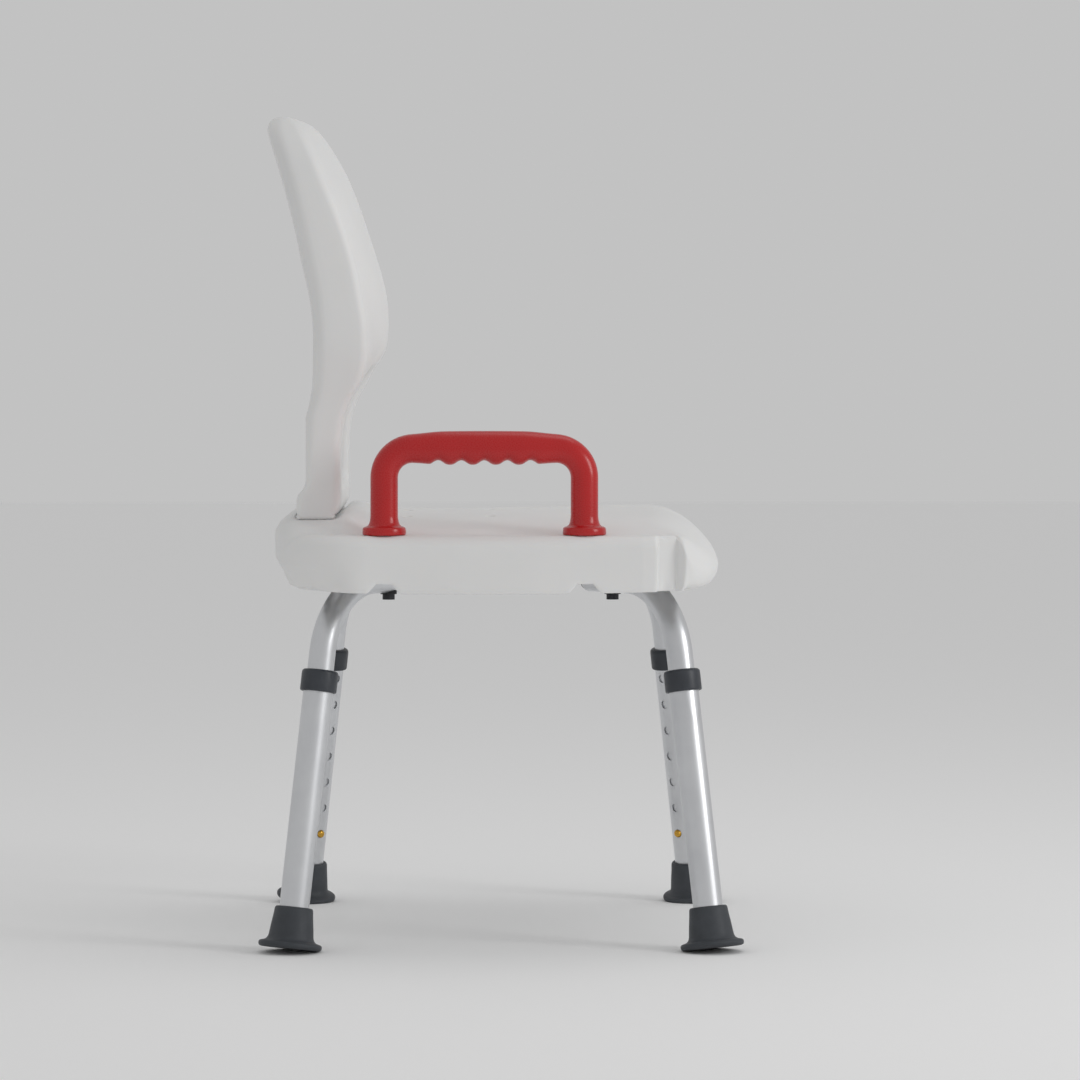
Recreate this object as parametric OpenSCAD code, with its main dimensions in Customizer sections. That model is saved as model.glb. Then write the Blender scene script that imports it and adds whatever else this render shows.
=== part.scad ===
// Shower chair with a moulded seat, a plug-in backrest, one side grab handle
// and four telescoping legs. Millimetres, +Z up, the front of the seat towards -Y,
// the sitter's right towards -X, the origin on the floor under the middle.

/* [Seat] */
// Width of the seat across both side rails
seat_w = 500; // [420:1:620]
// Depth of the side blocks, from their front corner to the rear wall
block_depth = 369; // [340:1:460]
// Height of the seat's lower edge above the floor, legs closed
seat_bottom_z = 345; // [335:1:420]
// Height of the side walls, from lower edge to rail
rail_h = 53; // [46:1:70]
// Rise of the crowned middle of the seat above the rails
crown_h = 21; // [12:1:30]
// Flat width of each side rail
rail_w = 34; // [30:1:45]
// How far the front lip stands ahead of the side blocks
lip_reach = 62; // [40:1:80]
// How far the front lip is set in from each side
lip_inset = 14; // [8:1:30]
// Plan radius of the rear corners
rear_corner_r = 90; // [40:1:120]
// Thickness of the side walls
wall = 3.2; // [2.5:0.1:5]
// Thickness of the stiffening ribs
rib_t = 3; // [2:0.1:5]
// Distance between neighbouring ribs that run front to back
rib_pitch = 75; // [60:1:90]
// Diameter of the drain holes
drain_d = 9; // [6:0.5:14]

/* [Backrest] */
// Height of the backrest's top edge above the seat's lower edge
back_top = 455; // [400:1:520]
// Width of the backrest panel
back_w = 400; // [340:1:460]
// Radius of the panel's upper corners
back_corner_r = 100; // [60:1:120]
// Wall thickness of the hollow backrest
back_wall = 3.2; // [2.5:0.1:5]
// Distance between the outer faces of the two posts
post_span = 368; // [320:1:390]
// Width of each post
post_w = 66; // [50:1:80]
// Front-to-back thickness of each post
post_t = 33; // [28:1:40]
// Length of the tenon that plugs into the seat
tenon_l = 40; // [30:1:44]
// Gap all round the tenon in its socket
tenon_gap = 0.3; // [0.2:0.05:0.6]

/* [Handle] */
// Distance between the handle's two posts
handle_pitch = 190; // [160:1:240]
// Diameter of the handle's posts
handle_post_d = 25.6; // [22:0.2:30]
// Diameter of the grip
grip_d = 30; // [26:0.5:34]
// Height of the grip's top above the rail
handle_h = 98; // [85:1:120]
// Diameter of the flared feet of the handle
handle_foot_d = 43; // [36:1:50]
// How far the handle's centre line is from the side of the seat
handle_inset = 26; // [24:1:30]
// Place of the handle's middle along the seat
handle_y = 16; // [-10:1:30]
// Diameter of the clearance holes for the handle bolts
handle_hole_d = 8.5; // [8.2:0.1:9.5]

/* [Legs] */
// Outer diameter of the upper tubes
upper_d = 25.4; // [22:0.1:27]
// Wall thickness of both tubes
tube_wall = 1.2; // [1:0.05:1.6]
// Gap all round between the upper tube and the lower tube
tube_gap = 0.4; // [0.3:0.05:0.6]
// Half the distance between the feet across the chair
foot_x = 216.4; // [190:0.1:240]
// Half the distance between the feet front to back
foot_y = 202.1; // [180:0.1:220]
// Lean of each leg from vertical
lean = 10; // [6:0.5:14]
// Direction in plan of the plane that each leg is bent in
plan_angle = 38; // [30:1:50]
// Centre line radius of the bend
bend_r = 80; // [65:1:90]
// Distance between neighbouring height holes
hole_pitch = 27.5; // [22:0.5:29]
// Number of height steps above the lowest
height_steps = 6; // [3:1:6]
// Diameter of the brass spring buttons
button_d = 8; // [6:0.1:9]

/* [Feet and collars] */
// Diameter of the rubber foot's flange
tip_flange_d = 60; // [50:1:70]
// Length of the rubber foot
tip_h = 40; // [36:1:52]
// Wall thickness of the collars and of the feet at their top
collar_wall = 3.2; // [2.5:0.1:5]
// Length of the collars
collar_h = 21; // [16:1:28]
// How far the rubber flattens where it meets the floor
tip_squash = 2; // [1:0.5:3]

/* [Hidden] */
$fn = 48;
eps = 0.02;

WHITE = [0.85, 0.85, 0.83];
RED = [0.72, 0.08, 0.07];
ALUMINIUM = [0.74, 0.75, 0.77];
DARK_GREY = [0.24, 0.26, 0.29];
BLACK = [0.10, 0.10, 0.11];
BRASS = [0.79, 0.60, 0.24];
STEEL = [0.62, 0.63, 0.65];

// Each leg: its name, the side of the chair and the end of the chair.
LEGS = [
    ["front_right", -1, -1],
    ["front_left", 1, -1],
    ["rear_right", -1, 1],
    ["rear_left", 1, 1]
];

// Heights and edges of the seat
rail_z = seat_bottom_z + rail_h;
crown_z = rail_z + crown_h;
rear_y = 217;
block_y = rear_y - block_depth;
lip_y = block_y - lip_reach;
platform_z = crown_z - 7.5;
crest_h = 2;
below = 40;
block_corner_r = 22;
lip_corner_r = 50;
top_skin = 4;
rib_row_pitch = 80;

// Legs in their bent plane: u runs outward along the floor, w runs up the leg
run_z = seat_bottom_z + 5;
corner_u = -run_z * tan(lean);
turn = 90 - lean;
tangent = bend_r * tan(turn / 2);
leg_top_w = run_z / cos(lean) - tangent;
run_l = 56;
bolt_u = corner_u - tangent - 22;
upper_r = upper_d / 2;
lower_r = upper_r + tube_gap + tube_wall;
collar_r = lower_r + collar_wall;
tip_base_w = tip_flange_d / 2 * tan(lean) - tip_squash;
tip_floor_t = 8;
disc_t = 1.6;
tube_base_w = tip_base_w + tip_floor_t + disc_t;
collar_w = 250;
collar_lip = 2.5;
lower_top_w = collar_w + collar_h - collar_lip;
button_w = 76;
upper_base_w = button_w - 24;
button_hole_d = button_d + 0.6;
button_stand = 2.5;
leaf_t = 0.8;
leaf_w = 12;
leaf_x = sqrt(pow(upper_r - tube_wall, 2) - pow(leaf_w / 2, 2)) - 0.1;
running_gap = 0.1;
assembly_gap = 0.1;

// Fasteners
leg_bolt_d = 6;
leg_bolt_head_d = 12;
leg_bolt_head_h = 5.3;
saddle_t = 1.3;
leg_bolt_l = 42;
insert_l = 14;
insert_wall = 2.2;
handle_bolt_d = 8;
handle_bolt_head_d = 13;
handle_bolt_head_h = 5.3;
washer_t = 1.6;
handle_boss_drop = 26;
handle_insert_l = 22;
screw_d = 5;
screw_head_d = 10;
screw_head_h = 3;

// Backrest
back_front_y = 154;
back_rear_y = back_front_y + post_t;
post_x0 = post_span / 2 - post_w;
post_x1 = post_span / 2;
tenon_side = 6;
tenon_face = 5.5;
screw_z = platform_z - 18.5;
rail_rear_y = back_rear_y + 8.5;
rail_up = 31.5;

// ---------- Helpers ----------

// Points of an arc about (cx, cy) from angle a0 to a1.
function arc(cx, cy, r, a0, a1, n = 8) =
    [for (i = [0:n]) let (a = a0 + (a1 - a0) * i / n) [cx + r * cos(a), cy + r * sin(a)]];

// Signed power, for rounded-box sections.
function soft(v, p) = sign(v) * pow(abs(v), p);

// Puts a piece, modelled for the rear left leg, at the leg on the given side and end.
module at_leg(side, end)
    mirror([side < 0 ? 1 : 0, 0, 0])
        mirror([0, end < 0 ? 1 : 0, 0])
            translate([foot_x, foot_y, 0])
                rotate([0, 0, plan_angle])
                    children();

// Turns the vertical axis into the leg's own axis.
module up_leg(w = 0)
    rotate([0, -lean, 0])
        translate([0, 0, w])
            children();

// At the axis of the bolt that holds a leg under the seat.
module at_leg_bolt(z)
    translate([bolt_u, 0, z])
        children();

// A piece at each of the four legs.
module at_every_leg()
    for (leg = LEGS)
        at_leg(leg[1], leg[2])
            children();

// Axis of a button: along +X is outward from the tube, on the face towards the chair's middle.
module at_button()
    up_leg(button_w)
        rotate([0, 0, 180])
            children();

module at_handle_posts(side)
    for (end = [-1, 1])
        translate([side * (seat_w / 2 - handle_inset), handle_y + end * handle_pitch / 2, rail_z])
            children();

// ---------- Seat ----------

// Plan outline, shrunk by t on every side.
module seat_plan(t) {
    hw = seat_w / 2 - t;
    lw = seat_w / 2 - lip_inset - t;
    rr = rear_corner_r - t;
    br = block_corner_r - t;
    lr = lip_corner_r - t;
    polygon(concat(
        arc(hw - rr, rear_y - t - rr, rr, 0, 90),
        arc(-hw + rr, rear_y - t - rr, rr, 90, 180),
        arc(-hw + br, block_y + t + br, br, 180, 260),
        arc(-lw + lr, lip_y + t + lr, lr, 180, 270),
        arc(lw - lr, lip_y + t + lr, lr, 270, 360),
        arc(hw - br, block_y + t + br, br, 280, 360)
    ));
}

// Side view outline: x is the distance along the chair, y is height.
module seat_side_outline() {
    b = seat_bottom_z;
    polygon([
        [lip_y + 26, b], [lip_y + 12, b + 4], [lip_y + 3, b + 12], [lip_y, b + 21],
        [lip_y + 2, b + 28], [lip_y + 9, b + 41], [lip_y + 21, crown_z - 19],
        [lip_y + 37, crown_z - 7], [lip_y + 53, crown_z - 1.5], [lip_y + 72, crown_z],
        [rear_y - 157, crown_z - 3], [rear_y - 117, crown_z - 3], [rear_y - 95, crown_z],
        [rear_y - 79, crown_z + crest_h], [rear_y - 67, crown_z + crest_h], [rear_y - 57, crown_z - 3],
        [rear_y - 20, crown_z - 3.5], [rear_y - 10, crown_z - 6], [rear_y - 3, crown_z - 12],
        [rear_y, crown_z - 19], [rear_y, b + 38], [rear_y - 2, b + 32], [rear_y - 8, b + 25],
        [rear_y - 11, b + 10], [rear_y - 18, b]
    ]);
}

// Front view outline: level rails on both sides of the domed middle.
module seat_front_outline() {
    hw = seat_w / 2;
    crown_hw = hw - rail_w - 4;
    half = concat(
        [[hw, seat_bottom_z], [hw, rail_z - 8], [hw - 3, rail_z - 2.5], [hw - 8, rail_z]],
        [for (f = [1, 0.93, 0.82, 0.66, 0.44, 0.2])
            [f * crown_hw, rail_z + (crown_h + crest_h + 1) * pow(1 - f * f, 0.8)]]
    );
    polygon(concat(half, [for (i = [len(half) - 1:-1:0]) [-half[i][0], half[i][1]]]));
}

// Front view outline of the level part that carries the backrest.
module platform_outline() {
    polygon([
        [-post_x1 - 26, rail_z - 2], [-post_x1 - 6, platform_z], [post_x1 + 6, platform_z],
        [post_x1 + 26, rail_z - 2], [post_x1 + 26, seat_bottom_z], [-post_x1 - 26, seat_bottom_z]
    ]);
}

// A front view outline, run along the seat, shrunk by t, open downwards if open is true.
module run_along(t, open)
    rotate([90, 0, 0])
        translate([0, 0, -2 * seat_w])
            linear_extrude(4 * seat_w)
                offset(delta = -t)
                    union() {
                        children();
                        if (open)
                            translate([-seat_w / 2, seat_bottom_z - below])
                                square([seat_w, below + eps]);
                    }

// The seat's outside, shrunk by t, open downwards if open is true.
module seat_form(t, open = false)
    intersection() {
        translate([0, 0, seat_bottom_z - below])
            linear_extrude(crown_z - seat_bottom_z + 2 * below)
                seat_plan(t);
        rotate([90, 0, 90])
            translate([0, 0, -seat_w / 2])
                linear_extrude(seat_w)
                    offset(delta = -t)
                        union() {
                            seat_side_outline();
                            if (open)
                                translate([lip_y + 26, seat_bottom_z - below])
                                    square([rear_y - lip_y - 44, below + eps]);
                        }
        union() {
            run_along(t, open)
                seat_front_outline();
            intersection() {
                run_along(t, false)
                    platform_outline();
                translate([-seat_w / 2, back_front_y - 5 + t, seat_bottom_z])
                    cube([seat_w, seat_w, 2 * crown_z]);
            }
        }
    }

// The tray that the backrest's base rail stands in, as a solid to take away.
module rail_tray()
    rotate([90, 0, 90])
        translate([0, 0, -post_x1 - 1])
            linear_extrude(2 * post_x1 + 2)
                polygon([
                    [back_front_y + 7, platform_z], [back_front_y - 1, platform_z + 14],
                    [rail_rear_y + 1, platform_z + 14], [rail_rear_y + 1, platform_z]
                ]);

// Ribs, saddles, bosses and sockets, as plain blocks that the seat's form then trims.
module seat_inner_blocks() {
    rib_z = seat_bottom_z + 21;
    up = crown_z - rib_z;
    for (x = [-2:2])
        translate([x * rib_pitch - rib_t / 2, lip_y, rib_z])
            cube([rib_t, rear_y - lip_y, up]);
    for (row = [0:3])
        translate([-seat_w / 2, block_y + 42 + row * rib_row_pitch - rib_t / 2, rib_z])
            cube([seat_w, rib_t, up]);
    at_every_leg() {
        translate([corner_u - tangent - run_l, -upper_r - 4, run_z])
            cube([run_l, 2 * upper_r + 8, crown_z - run_z]);
    }
    for (side = [-1, 1])
        at_handle_posts(side) {
            translate([0, 0, -handle_boss_drop])
                cylinder(h = handle_boss_drop, r = 12);
            translate([0, 0, -top_skin - 1])
                cylinder(h = top_skin + 1, r = handle_foot_d / 2 + 2);
        }
    for (side = [-1, 1])
        mirror([side < 0 ? 1 : 0, 0, 0])
            translate([post_x0 + tenon_side - 4, back_front_y + tenon_face - 4, platform_z - tenon_l - 4])
                cube([post_w - 2 * tenon_side + 8, post_t - 2 * tenon_face + 8, tenon_l + 4]);
    for (side = [-1, 1])
        translate([side * (post_x0 + post_x1) / 2, back_rear_y - tenon_face, screw_z])
            rotate([-90, 0, 0])
                cylinder(h = rear_y - back_rear_y + tenon_face, r = screw_head_d / 2 + 3);
}

// Tenon of one backrest post, grown by g on its sides.
module tenon(g)
    translate([post_x0 + tenon_side - g, back_front_y + tenon_face - g, platform_z - tenon_l - g])
        cube([post_w - 2 * tenon_side + 2 * g, post_t - 2 * tenon_face + 2 * g, tenon_l + g + 1]);

// A leg's bent tube as a solid bar of radius r, its free ends longer by extra.
// The tube draws in a little at the bend, and the straight lengths lap the bend.
module upper_leg_bar(r, extra = 0) {
    lap = 1;
    draw_in = 0.05;
    up_leg(upper_base_w - extra)
        cylinder(h = leg_top_w - upper_base_w + extra + lap, r = r);
    translate([corner_u - tangent, 0, run_z - bend_r])
        rotate([90, 0, 0]) {
            rotate([0, 0, lean])
                rotate_extrude(angle = turn)
                    translate([bend_r, 0])
                        circle(r = r - draw_in);
            translate([lap, bend_r, 0])
                rotate([90, 0, -90])
                    cylinder(h = run_l + extra + lap, r = r);
        }
}

// The gap in the lower edge under each handle post.
module skirt_arch() {
    w = 15;
    h = 9;
    rotate([90, 0, 90])
        translate([0, 0, -wall * 4])
            linear_extrude(wall * 8)
                polygon([[-w - 2, -2], [-w, 0], [-w / 2, h], [w / 2, h], [w, 0], [w + 2, -2]]);
}

module seat() color(WHITE) difference() {
    union() {
        difference() {
            seat_form(0);
            translate([0, 0, wall - top_skin])
                seat_form(wall, open = true);
        }
        intersection() {
            seat_form(wall / 2);
            seat_inner_blocks();
        }
    }
    at_every_leg() {
        upper_leg_bar(upper_r + assembly_gap);
        at_leg_bolt(run_z)
            cylinder(h = upper_r + insert_l + 1, r = leg_bolt_d / 2 + insert_wall);
        at_leg_bolt(run_z)
            cylinder(h = leg_bolt_l, r = leg_bolt_d / 2 + 0.3);
    }
    for (side = [-1, 1])
        at_handle_posts(side) {
            translate([0, 0, -handle_boss_drop - 1])
                cylinder(h = handle_boss_drop + 2, r = handle_hole_d / 2);
            cylinder(h = crown_h, r = handle_foot_d / 2 + 0.3);
        }
    for (side = [-1, 1])
        at_handle_posts(side)
            translate([side * (handle_inset - wall), 0, seat_bottom_z - rail_z])
                skirt_arch();
    rail_tray();
    for (side = [-1, 1]) {
        mirror([side < 0 ? 1 : 0, 0, 0])
            tenon(tenon_gap);
        translate([side * (post_x0 + post_x1) / 2, back_rear_y - tenon_face - 6, screw_z])
            rotate([-90, 0, 0])
                cylinder(h = rear_y, r = screw_d / 2 + 0.2);
        translate([side * (post_x0 + post_x1) / 2, rear_y - screw_head_h - 1, screw_z])
            rotate([-90, 0, 0])
                cylinder(h = 20, r = screw_head_d / 2 + 0.4);
    }
    for (x = [-1.5:1.5])
        for (row = [0.5:2.5])
            translate([x * rib_pitch, block_y + 42 + row * rib_row_pitch, rail_z - 10])
                cylinder(h = 50, r = drain_d / 2);
}

// ---------- Backrest ----------

// Side view lines of the panel, each a list of [height above the seat's lower edge, y].
rear_line = [[210, 180], [240, 181], [275, 185], [305, 192], [340, 199], [370, 206], [402, 215],
             [420, 221], [445, 229], [452, 227], [455, 221]];
edge_line = [[210, 134], [225, 129], [245, 129], [275, 132], [305, 139], [340, 150], [370, 160],
             [402, 172], [420, 180], [445, 193], [452, 198], [455, 205]];
crown_line = [[210, 130], [216, 118], [232, 112], [255, 111], [275, 112], [305, 119], [340, 129],
              [370, 139], [402, 152], [420, 162], [445, 180], [452, 190], [455, 202]];

// Half the panel's width at a height above the seat's lower edge.
function panel_half_w(h) =
    let (low_r = 30, top = back_top - back_corner_r, low = 210 + low_r)
    h > top ? back_w / 2 - back_corner_r + sqrt(max(0, pow(back_corner_r, 2) - pow(h - top, 2)))
    : h < low ? back_w / 2 - low_r + sqrt(max(0, pow(low_r, 2) - pow(low - h, 2)))
    : back_w / 2;

// One level ring of the panel, shrunk by t: a rounded box with a crowned front.
function panel_ring(h, t, n) =
    let (k = 455 / back_top,
         w = panel_half_w(h) - t,
         yr = lookup(h * k, rear_line) - t,
         ye = lookup(h * k, edge_line) + t,
         yc = lookup(h * k, crown_line) + t)
    [for (i = [0:n - 1])
        let (a = 360 * i / n, cx = soft(cos(a), 0.4), s = soft(sin(a), 0.5))
        [w * cx,
         (yr + ye) / 2 + s * (yr - ye) / 2 + (yc - ye) * (1 - pow(cx, 2)) * max(0, -s),
         seat_bottom_z + h]];

// The closed panel, shrunk by t all round and by more at its thin top.
module panel(t) {
    n = 28;
    low = 210 + t;
    high = back_top - 3 * t;
    levels = [for (f = [0, 0.03, 0.07, 0.14, 0.24, 0.34, 0.46, 0.58, 0.7, 0.8, 0.88, 0.94, 0.975, 1])
        low + f * (high - low)];
    rows = len(levels);
    points = [for (h = levels) each panel_ring(h, t, n)];
    sides = [for (r = [0:rows - 2]) for (i = [0:n - 1])
        let (j = (i + 1) % n, a = r * n, b = a + n)
        each [[a + i, b + i, b + j], [a + i, b + j, a + j]]];
    caps = [[for (i = [0:n - 1]) i], [for (i = [n - 1:-1:0]) (rows - 1) * n + i]];
    polyhedron(points, concat(sides, caps));
}

// One post in side view, from the seat up into the panel.
module post_outline() {
    f = back_front_y;
    r = back_rear_y;
    b = seat_bottom_z;
    polygon([
        [r, platform_z], [r, b + 163], [r - 4, b + 178], [r - 7, b + 200], [r - 8, b + 235],
        [f - 23, b + 235], [f - 24, b + 215], [f - 20, b + 200], [f - 9, b + 181],
        [f - 3, b + 162], [f, b + 140], [f, platform_z + 13.5], [f + 7.5, platform_z]
    ]);
}

module backrest_posts() {
    for (side = [-1, 1])
        mirror([side < 0 ? 1 : 0, 0, 0]) {
            translate([post_x0, 0, 0])
                rotate([90, 0, 90])
                    linear_extrude(post_w)
                        post_outline();
            tenon(0);
        }
    rotate([90, 0, 90])
        translate([0, 0, -post_x1])
            linear_extrude(2 * post_x1)
                polygon([
                    [back_front_y + 7.5, platform_z], [rail_rear_y, platform_z],
                    [rail_rear_y, platform_z + rail_up - 10], [back_rear_y, platform_z + rail_up],
                    [back_front_y + 3, platform_z + rail_up], [back_front_y, platform_z + rail_up - 3],
                    [back_front_y, platform_z + 13.5]
                ]);
}

module backrest() color(WHITE) difference() {
    union() {
        panel(0);
        backrest_posts();
    }
    panel(back_wall);
    for (side = [-1, 1])
        mirror([side < 0 ? 1 : 0, 0, 0])
            translate([
                post_x0 + tenon_side + back_wall,
                back_front_y + tenon_face + back_wall,
                platform_z - tenon_l + back_wall
            ])
                cube([
                    post_w - 2 * (tenon_side + back_wall),
                    post_t - 2 * (tenon_face + back_wall),
                    seat_bottom_z + 230 - platform_z + tenon_l
                ]);
    for (side = [-1, 1])
        translate([side * (post_x0 + post_x1) / 2, back_rear_y - tenon_face - 5, screw_z])
            rotate([-90, 0, 0])
                cylinder(h = 10, r = screw_d / 2);
}

module backrest_screws() color(STEEL)
    for (side = [-1, 1])
        translate([side * (post_x0 + post_x1) / 2, rear_y - screw_head_h - 1, screw_z])
            rotate([90, 0, 0]) {
                cylinder(h = rear_y - screw_head_h - 1 - back_rear_y + tenon_face + 3, r = screw_d / 2);
                translate([0, 0, -screw_head_h])
                    difference() {
                        cylinder(h = screw_head_h, r = screw_head_d / 2);
                        translate([-0.6, -3, -1])
                            cube([1.2, 6, 2.4]);
                        translate([-3, -0.6, -1])
                            cube([6, 1.2, 2.4]);
                    }
            }

// ---------- Grab handle ----------

module grab_handle() color(RED) {
    turn_r = 27;
    half = handle_pitch / 2;
    grip_z = handle_h - grip_d / 2;
    scallop_pitch = 21.8;
    scallop_r = 13;
    translate([-(seat_w / 2 - handle_inset), handle_y, rail_z])
        difference() {
            union() {
                for (end = [-1, 1]) {
                    translate([0, end * half, 0]) {
                        cylinder(h = 5, r = handle_foot_d / 2);
                        translate([0, 0, 5])
                            cylinder(h = 5, r1 = handle_foot_d / 2 - 1, r2 = handle_post_d / 2 + 2);
                        cylinder(h = grip_z - turn_r, r = handle_post_d / 2);
                    }
                    translate([0, end * (half - turn_r), grip_z - turn_r])
                        rotate([90, 0, end > 0 ? 90 : -90])
                            rotate_extrude(angle = 90)
                                translate([turn_r, 0])
                                    circle(r = handle_post_d / 2);
                }
                translate([0, -half + turn_r, grip_z])
                    rotate([-90, 0, 0])
                        cylinder(h = handle_pitch - 2 * turn_r, r = handle_post_d / 2);
                translate([0, -half + turn_r, grip_z])
                    rotate([-90, 0, 0])
                        cylinder(h = handle_pitch - 2 * turn_r, r = grip_d / 2);
            }
            for (i = [-2:2])
                translate([-grip_d, i * scallop_pitch, grip_z - grip_d / 2 - scallop_r + 4])
                    rotate([0, 90, 0])
                        cylinder(h = 2 * grip_d, r = scallop_r);
            for (end = [-1, 1])
                translate([0, end * half, -1])
                    cylinder(h = handle_insert_l + 3, r = handle_bolt_d / 2 + insert_wall);
        }
}

module handle_inserts() color(BRASS)
    at_handle_posts(-1)
        translate([0, 0, 1])
            difference() {
                cylinder(h = handle_insert_l, r = handle_bolt_d / 2 + insert_wall);
                translate([0, 0, -1])
                    cylinder(h = handle_insert_l + 2, r = handle_bolt_d / 2);
            }

module handle_washers() color(STEEL)
    at_handle_posts(-1)
        translate([0, 0, -handle_boss_drop - washer_t])
            difference() {
                cylinder(h = washer_t, r = 9);
                translate([0, 0, -1])
                    cylinder(h = washer_t + 2, r = handle_hole_d / 2);
            }

module handle_bolts() color(STEEL)
    at_handle_posts(-1)
        translate([0, 0, -handle_boss_drop - washer_t]) {
            cylinder(h = handle_boss_drop + washer_t + handle_insert_l - 2, r = handle_bolt_d / 2);
            translate([0, 0, -handle_bolt_head_h])
                cylinder(h = handle_bolt_head_h, d = handle_bolt_head_d / cos(30), $fn = 6);
        }

// ---------- Legs ----------

module upper_leg() color(ALUMINIUM) difference() {
    upper_leg_bar(upper_r);
    upper_leg_bar(upper_r - tube_wall, 1);
    at_leg_bolt(run_z - upper_r - 1)
        cylinder(h = upper_d + 2, r = leg_bolt_d / 2 + 0.3);
    at_button()
        rotate([0, 90, 0])
            cylinder(h = upper_r + 1, r = button_hole_d / 2);
}

module tube_plug() color(BLACK)
    translate([corner_u - tangent - run_l, 0, run_z])
        rotate([0, 90, 0]) {
            translate([0, 0, -2.5])
                cylinder(h = 2.5, r1 = upper_r - 1, r2 = upper_r);
            cylinder(h = 14, r = upper_r - tube_wall - assembly_gap);
        }

module leg_insert() color(BRASS)
    at_leg_bolt(run_z + upper_r + 0.5)
        difference() {
            cylinder(h = insert_l, r = leg_bolt_d / 2 + insert_wall);
            translate([0, 0, -1])
                cylinder(h = insert_l + 2, r = leg_bolt_d / 2);
        }

// Shaped washer between the round tube and the flat bolt head.
module saddle_washer() color(BLACK)
    difference() {
        at_leg_bolt(run_z - upper_r - saddle_t)
            cylinder(h = saddle_t + 3, r = 8);
        translate([bolt_u - 20, 0, run_z])
            rotate([0, 90, 0])
                cylinder(h = 40, r = upper_r + eps);
        at_leg_bolt(run_z - 20)
            cylinder(h = 20, r = leg_bolt_d / 2 + 0.3);
    }

module leg_bolt() color(BLACK)
    at_leg_bolt(run_z - upper_r - saddle_t)
        difference() {
            union() {
                cylinder(h = leg_bolt_l, r = leg_bolt_d / 2);
                translate([0, 0, -leg_bolt_head_h])
                    cylinder(h = leg_bolt_head_h, r = leg_bolt_head_d / 2);
            }
            translate([0, 0, -leg_bolt_head_h - 1])
                cylinder(h = 4, d = 5 / cos(30), $fn = 6);
        }

module lower_leg() color(ALUMINIUM) up_leg(0) difference() {
    translate([0, 0, tube_base_w])
        cylinder(h = lower_top_w - tube_base_w, r = lower_r);
    translate([0, 0, tube_base_w - 1])
        cylinder(h = lower_top_w - tube_base_w + 2, r = lower_r - tube_wall);
    for (i = [0:height_steps])
        translate([0, 0, button_w + i * hole_pitch])
            rotate([0, -90, 0])
                cylinder(h = lower_r + 1, r = button_hole_d / 2);
}

module collar() color(DARK_GREY) up_leg(collar_w)
    difference() {
        rotate_extrude()
            polygon([
                [lower_r, 0], [collar_r - 1, 0], [collar_r, 1],
                [collar_r, collar_h - 2], [collar_r - 2, collar_h],
                [upper_r + running_gap, collar_h], [upper_r + running_gap, collar_h - collar_lip],
                [lower_r, collar_h - collar_lip]
            ]);
        // Slot that lets the collar close on the tube
        translate([-1, lower_r - 2, -1])
            cube([2, collar_r, collar_h * 0.45]);
    }

module foot_tip() color(DARK_GREY) difference() {
    body_r = collar_r + 4;
    up_leg(tip_base_w)
        rotate_extrude()
            polygon([
                [0, 0], [tip_flange_d / 2 - 2, 0], [tip_flange_d / 2, 2], [tip_flange_d / 2, 5],
                [tip_flange_d / 2 - 1.5, 6.5], [body_r + 2, 8.5], [body_r, 11],
                [collar_r + 0.8, tip_h - 1.5], [collar_r - 0.4, tip_h],
                [lower_r, tip_h], [lower_r, tip_floor_t], [0, tip_floor_t]
            ]);
    translate([-50, -50, -20])
        cube([100, 100, 20]);
    // Tread grooves under the flange
    up_leg(tip_base_w)
        for (r = [9, 15, 21])
            rotate_extrude()
                translate([r, -1])
                    square([2, 2.2]);
}

module foot_disc() color(STEEL) up_leg(tip_base_w + tip_floor_t)
    cylinder(h = disc_t, r = lower_r - 0.3);

module spring_button() color(BRASS) at_button() {
    tip_x = lower_r + button_stand;
    rotate([0, 90, 0]) {
        translate([0, 0, leaf_x - leaf_t - 1])
            cylinder(h = 0.9, r = button_d / 2 + 1.2);
        translate([0, 0, leaf_x - leaf_t - 1])
            cylinder(h = tip_x - leaf_x + leaf_t + 1 - 2, r = button_d / 2);
        translate([0, 0, tip_x - 2])
            cylinder(h = 2, r1 = button_d / 2, r2 = button_d / 2 - 2);
    }
}

// V-shaped leaf spring inside the upper tube, with an eye round the button's stem.
module button_spring() color(STEEL) at_button() {
    leaf_l = 30;
    loop_r = leaf_x / 2 + 1;
    difference() {
        translate([leaf_x - leaf_t, -leaf_w / 2, -leaf_w / 2])
            cube([leaf_t, leaf_w, leaf_l]);
        rotate([0, 90, 0])
            cylinder(h = 20, r = button_hole_d / 2);
    }
    translate([leaf_x - loop_r, leaf_w / 2, leaf_l - leaf_w / 2])
        rotate([90, 0, 0])
            rotate_extrude(angle = 180)
                translate([loop_r - leaf_t, 0])
                    square([leaf_t, leaf_w]);
    translate([leaf_x - 2 * loop_r, -leaf_w / 2, -leaf_w / 2])
        cube([leaf_t, leaf_w, leaf_l]);
}

// ---------- Assembly ----------

seat();
backrest();
backrest_screws();
grab_handle();
handle_inserts();
handle_bolts();
handle_washers();
at_every_leg() leg_insert();  // leg_inserts
at_every_leg() leg_bolt();  // leg_bolts
at_every_leg() saddle_washer();  // saddle_washers
at_every_leg() tube_plug();  // tube_plugs
at_every_leg() button_spring();  // button_springs
for (leg = LEGS) {
    at_leg(leg[1], leg[2]) upper_leg();
    at_leg(leg[1], leg[2]) lower_leg();
    at_leg(leg[1], leg[2]) collar();
    at_leg(leg[1], leg[2]) foot_tip();
    at_leg(leg[1], leg[2]) foot_disc();
    at_leg(leg[1], leg[2]) spring_button();
}
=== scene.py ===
"""Looks of the shower chair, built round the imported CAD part, in millimetres until a mesh is made."""
import math

import bmesh
import bpy
import numpy as np
from mathutils import Matrix, Vector
from mathutils.bvhtree import BVHTree


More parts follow.
